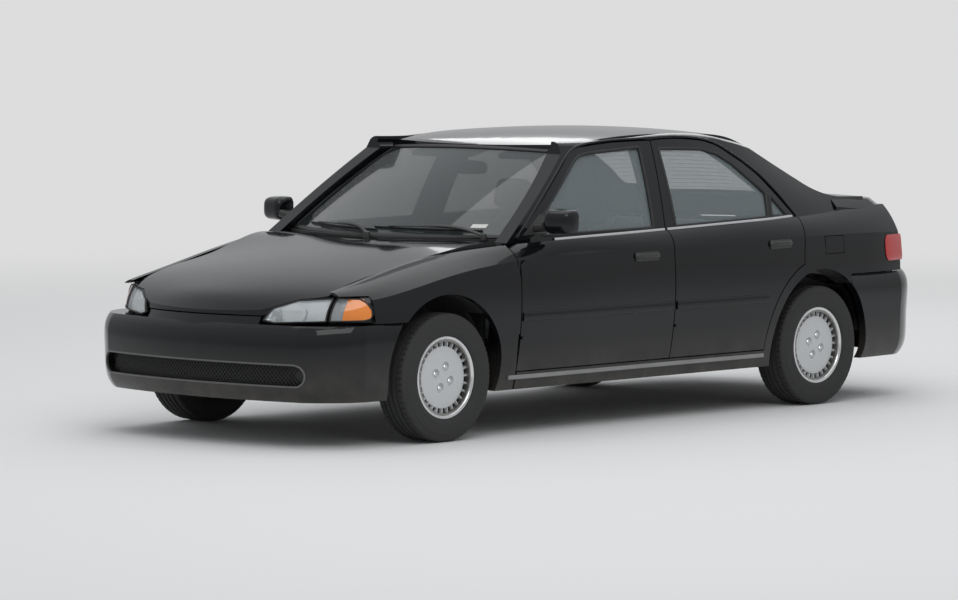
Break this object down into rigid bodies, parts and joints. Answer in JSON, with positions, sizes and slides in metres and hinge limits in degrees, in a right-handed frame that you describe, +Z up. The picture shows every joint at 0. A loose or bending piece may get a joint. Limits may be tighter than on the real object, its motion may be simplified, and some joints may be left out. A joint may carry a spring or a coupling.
{
  "type": "sedan car",
  "caption": "Compact four-door sedan with opening doors, hood, trunk lid and fuel door, steered front wheels and rolling wheels.",
  "frame": {"origin": "on the ground below the middle of the car's bounding box", "axes": "+Z up, the car faces -Y, +X is the car's left side"},
  "size_m": [1.97, 4.401, 1.347],
  "materials": {
    "body_paint": "gloss black",
    "window_glass": "clear, lightly tinted",
    "lamp_lens": "clear moulded lens",
    "tail_lens": "red moulded lens",
    "tyre_rubber": "matt",
    "wheel_silver": "satin silver",
    "seat_fabric": "woven grey",
    "cabin_plastic": "grained",
    "black_metal": "satin black",
    "engine_metal": "bare",
    "pipe_metal": "dull",
    "black_plastic": "satin"
  },
  "bodies": {
    "body": {"floor_pan": "black_metal", "body_side_left": "body_paint", "body_side_right": "body_paint", "roof_panel": "body_paint", "cowl_panel": "black_plastic", "front_fenders": "body_paint", "inner_wings": "black_metal", "radiator": "black_metal", "front_bumper": "body_paint", "rear_bumper": "body_paint", "rear_panel": "body_paint", "front_lamps": "lamp_lens", "tail_lamps": "tail_lens", "windscreen": "window_glass", "rear_window": "window_glass", "dashboard": "cabin_plastic", "front_seats": "seat_fabric", "rear_seat": "seat_fabric", "engine": "engine_metal", "front_suspension": "black_metal", "rear_suspension": "black_metal", "fuel_tank": "black_metal", "exhaust": "pipe_metal"},
    "door_front_left": {"door_front_left": "body_paint", "door_glass_front_left": "window_glass", "mirror_left": "body_paint"},
    "door_rear_left": {"door_rear_left": "body_paint", "door_glass_rear_left": "window_glass"},
    "door_front_right": {"door_front_right": "body_paint", "door_glass_front_right": "window_glass", "mirror_right": "body_paint"},
    "door_rear_right": {"door_rear_right": "body_paint", "door_glass_rear_right": "window_glass"},
    "hood": {"hood": "body_paint"},
    "trunk_lid": {"trunk_lid": "body_paint"},
    "fuel_door": {"fuel_door": "body_paint"},
    "steering_wheel": {"steering_wheel": "cabin_plastic"},
    "knuckle_left": {"knuckle_left": "black_metal"},
    "knuckle_right": {"knuckle_right": "black_metal"},
    "wheel_front_left": {"wheel_front_left": "wheel_silver", "tyre_front_left": "tyre_rubber"},
    "wheel_front_right": {"wheel_front_right": "wheel_silver", "tyre_front_right": "tyre_rubber"},
    "wheel_rear_left": {"wheel_rear_left": "wheel_silver", "tyre_rear_left": "tyre_rubber"},
    "wheel_rear_right": {"wheel_rear_right": "wheel_silver", "tyre_rear_right": "tyre_rubber"}
  },
  "joints": [
    {"name": "door_front_left_hinge", "type": "hinge", "parent": "body", "child": "door_front_left", "pos_m": [0.8375, -0.92, 0.52], "axis": [0, 0, -1], "range_deg": [0, 65]},
    {"name": "door_front_right_hinge", "type": "hinge", "parent": "body", "child": "door_front_right", "pos_m": [-0.8375, -0.92, 0.52], "axis": [0, 0, 1], "range_deg": [0, 65]},
    {"name": "door_rear_left_hinge", "type": "hinge", "parent": "body", "child": "door_rear_left", "pos_m": [0.8375, 0.14, 0.52], "axis": [0, 0, -1], "range_deg": [0, 65]},
    {"name": "door_rear_right_hinge", "type": "hinge", "parent": "body", "child": "door_rear_right", "pos_m": [-0.8375, 0.14, 0.52], "axis": [0, 0, 1], "range_deg": [0, 65]},
    {"name": "hood_hinge", "type": "hinge", "parent": "body", "child": "hood", "pos_m": [0, -0.985, 0.846], "axis": [-1, 0, 0], "range_deg": [0, 50]},
    {"name": "trunk_lid_hinge", "type": "hinge", "parent": "body", "child": "trunk_lid", "pos_m": [0, 1.714, 0.972], "axis": [1, 0, 0], "range_deg": [0, 70]},
    {"name": "fuel_door_hinge", "type": "hinge", "parent": "body", "child": "fuel_door", "pos_m": [0.824, 1.266, 0.77], "axis": [0, 0, -1], "range_deg": [0, 90]},
    {"name": "steer_left", "type": "hinge", "parent": "body", "child": "knuckle_left", "pos_m": [0.69, -1.3975, 0.2], "axis": [-0.2241, 0, 0.9746], "range_deg": [-32, 32]},
    {"name": "steer_right", "type": "hinge", "parent": "body", "child": "knuckle_right", "pos_m": [-0.69, -1.3975, 0.2], "axis": [0.2241, 0, 0.9746], "range_deg": [-32, 32]},
    {"name": "steering_column", "type": "hinge", "parent": "body", "child": "steering_wheel", "pos_m": [0.37, -0.395, 0.8], "axis": [0, 0.9063, 0.4226], "range_deg": [-480, 480]},
    {"name": "wheel_front_left_spin", "type": "hinge", "parent": "knuckle_left", "child": "wheel_front_left", "pos_m": [0.735, -1.3975, 0.288], "axis": [1, 0, 0], "continuous": true},
    {"name": "wheel_front_right_spin", "type": "hinge", "parent": "knuckle_right", "child": "wheel_front_right", "pos_m": [-0.735, -1.3975, 0.288], "axis": [1, 0, 0], "continuous": true},
    {"name": "wheel_rear_left_spin", "type": "hinge", "parent": "body", "child": "wheel_rear_left", "pos_m": [0.735, 1.2225, 0.288], "axis": [1, 0, 0], "continuous": true},
    {"name": "wheel_rear_right_spin", "type": "hinge", "parent": "body", "child": "wheel_rear_right", "pos_m": [-0.735, 1.2225, 0.288], "axis": [1, 0, 0], "continuous": true}
  ],
  "couplings": [
    {"joint": "steer_right", "follows": "steer_left", "ratio": 1},
    {"joint": "steering_column", "follows": "steer_left", "ratio": 15}
  ]
}
